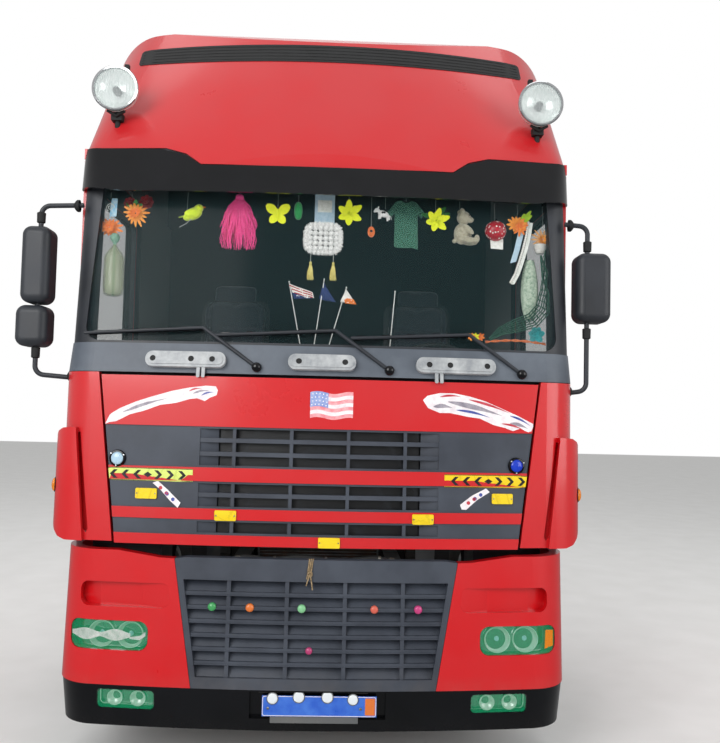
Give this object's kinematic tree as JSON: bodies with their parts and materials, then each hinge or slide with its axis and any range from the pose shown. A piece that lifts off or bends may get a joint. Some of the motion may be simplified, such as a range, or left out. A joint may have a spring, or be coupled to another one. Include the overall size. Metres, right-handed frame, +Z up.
{
  "type": "decorated road tractor truck",
  "caption": "Cab-over road tractor with a high sleeper roof: steering, tilting cab, hinged doors and front flap, rocking fifth wheel and free-turning wheels.",
  "frame": {"origin": "on the ground under the middle of the overall box", "axes": "+X the vehicle's left side, +Y rearwards (the front faces -Y), +Z up"},
  "size_m": [2.93, 5.98, 3.8098],
  "materials": {
    "red_paint": "gloss enamel, sun-faded",
    "dark_trim": "grained dark grey moulding",
    "black_gloss": "gloss",
    "chassis_paint": "satin, road dirt",
    "cast_iron": "as cast, painted",
    "rim_paint": "silver enamel",
    "tyre": "rubber",
    "tank_aluminium": "rolled sheet",
    "screen_glass": "laminated",
    "door_glass": "toughened",
    "lamp_glass": "moulded lens",
    "green_lamp": "green film on a moulded lens",
    "plate": "bare plate",
    "interior_plastic": "grained",
    "seat_fabric": "woven",
    "machined_steel": "greased",
    "tail_lens": "moulded lens",
    "rubber": "matt"
  },
  "bodies": {
    "chassis": {"frame_rails": "chassis_paint", "cross_members": "chassis_paint", "front_brackets": "chassis_paint", "front_axle": "cast_iron", "suspension": "chassis_paint", "rear_axle": "cast_iron", "drive_shaft": "machined_steel", "engine": "cast_iron", "fuel_tank": "tank_aluminium", "battery_and_air_tanks": "dark_trim", "silencer": "tank_aluminium", "catwalk": "tank_aluminium", "rear_wings": "dark_trim", "tail_beam": "chassis_paint", "tail_lamps": "tail_lens", "fifth_wheel_base": "chassis_paint", "entry_steps": "dark_trim", "front_wings": "dark_trim", "bumper_corners": "red_paint", "bumper_apron": "black_gloss", "front_lamps": "green_lamp", "bumper_grille": "dark_trim", "number_plate": "plate"},
    "knuckle_left": {"knuckle_left": "cast_iron"},
    "knuckle_right": {"knuckle_right": "cast_iron"},
    "tie_rod": {"tie_rod": "machined_steel"},
    "wheel_front_left": {"front_tyre_left": "tyre", "front_rim_left": "rim_paint"},
    "wheel_front_right": {"front_tyre_right": "tyre", "front_rim_right": "rim_paint"},
    "wheels_rear_left": {"rear_tyres_left": "tyre", "rear_rims_left": "rim_paint"},
    "wheels_rear_right": {"rear_tyres_right": "tyre", "rear_rims_right": "rim_paint"},
    "cab": {"cab_floor": "chassis_paint", "cab_front_wall": "dark_trim", "windscreen_frame": "dark_trim", "windscreen": "screen_glass", "scuttle": "dark_trim", "corner_panels": "red_paint", "cab_sides": "red_paint", "cab_back": "red_paint", "cab_roof": "red_paint", "sun_visor": "black_gloss", "dashboard": "interior_plastic", "seats_and_bunk": "seat_fabric", "mirrors": "dark_trim", "roof_lamps": "lamp_glass", "wipers": "dark_trim", "air_intake": "dark_trim"},
    "door_left": {"door_left": "red_paint", "door_glass_left": "door_glass"},
    "door_right": {"door_right": "red_paint", "door_glass_right": "door_glass"},
    "front_flap": {"flap_panel": "red_paint", "flap_grille": "dark_trim"},
    "steering_wheel": {"steering_wheel": "rubber"},
    "fifth_wheel": {"fifth_wheel": "machined_steel"}
  },
  "joints": [
    {"name": "steer_left", "type": "hinge", "parent": "chassis", "child": "knuckle_left", "pos_m": [0.86, -1.61, 0.538], "axis": [0, 0, 1], "range_deg": [-38, 38]},
    {"name": "steer_right", "type": "hinge", "parent": "chassis", "child": "knuckle_right", "pos_m": [-0.86, -1.61, 0.538], "axis": [0, 0, 1], "range_deg": [-39, 39]},
    {"name": "tie_rod_pivot", "type": "hinge", "parent": "knuckle_left", "child": "tie_rod", "pos_m": [0.86, -1.41, 0.4], "axis": [0, 0, 1], "range_deg": [-39, 39]},
    {"name": "front_left_spin", "type": "hinge", "parent": "knuckle_left", "child": "wheel_front_left", "pos_m": [1.025, -1.61, 0.538], "axis": [1, 0, 0], "continuous": true},
    {"name": "front_right_spin", "type": "hinge", "parent": "knuckle_right", "child": "wheel_front_right", "pos_m": [-1.025, -1.61, 0.538], "axis": [1, 0, 0], "continuous": true},
    {"name": "rear_left_spin", "type": "hinge", "parent": "chassis", "child": "wheels_rear_left", "pos_m": [0.915, 2.19, 0.538], "axis": [1, 0, 0], "continuous": true},
    {"name": "rear_right_spin", "type": "hinge", "parent": "chassis", "child": "wheels_rear_right", "pos_m": [-0.915, 2.19, 0.538], "axis": [1, 0, 0], "continuous": true},
    {"name": "cab_tilt", "type": "hinge", "parent": "chassis", "child": "cab", "pos_m": [0, -2.82, 0.78], "axis": [1, 0, 0], "range_deg": [0, 60]},
    {"name": "door_left_hinge", "type": "hinge", "parent": "cab", "child": "door_left", "pos_m": [1.232, -2.645, 2], "axis": [0, 0, -1], "range_deg": [0, 75]},
    {"name": "door_right_hinge", "type": "hinge", "parent": "cab", "child": "door_right", "pos_m": [-1.232, -2.645, 2], "axis": [0, 0, 1], "range_deg": [0, 75]},
    {"name": "front_flap_hinge", "type": "hinge", "parent": "cab", "child": "front_flap", "pos_m": [0, -2.94, 1.857], "axis": [-1, 0, 0], "range_deg": [0, 75]},
    {"name": "steering_wheel_turn", "type": "hinge", "parent": "cab", "child": "steering_wheel", "pos_m": [0.6, -2.218, 1.935], "axis": [0, 0.6198, 0.7848], "range_deg": [-700, 700]},
    {"name": "fifth_wheel_rock", "type": "hinge", "parent": "chassis", "child": "fifth_wheel", "pos_m": [0, 1.59, 1.085], "axis": [1, 0, 0], "range_deg": [-12, 12]}
  ],
  "couplings": [
    {"joint": "steer_right", "follows": "steer_left", "ratio": 1},
    {"joint": "tie_rod_pivot", "follows": "steer_left", "ratio": -1},
    {"joint": "steering_wheel_turn", "follows": "steer_left", "ratio": 18}
  ]
}
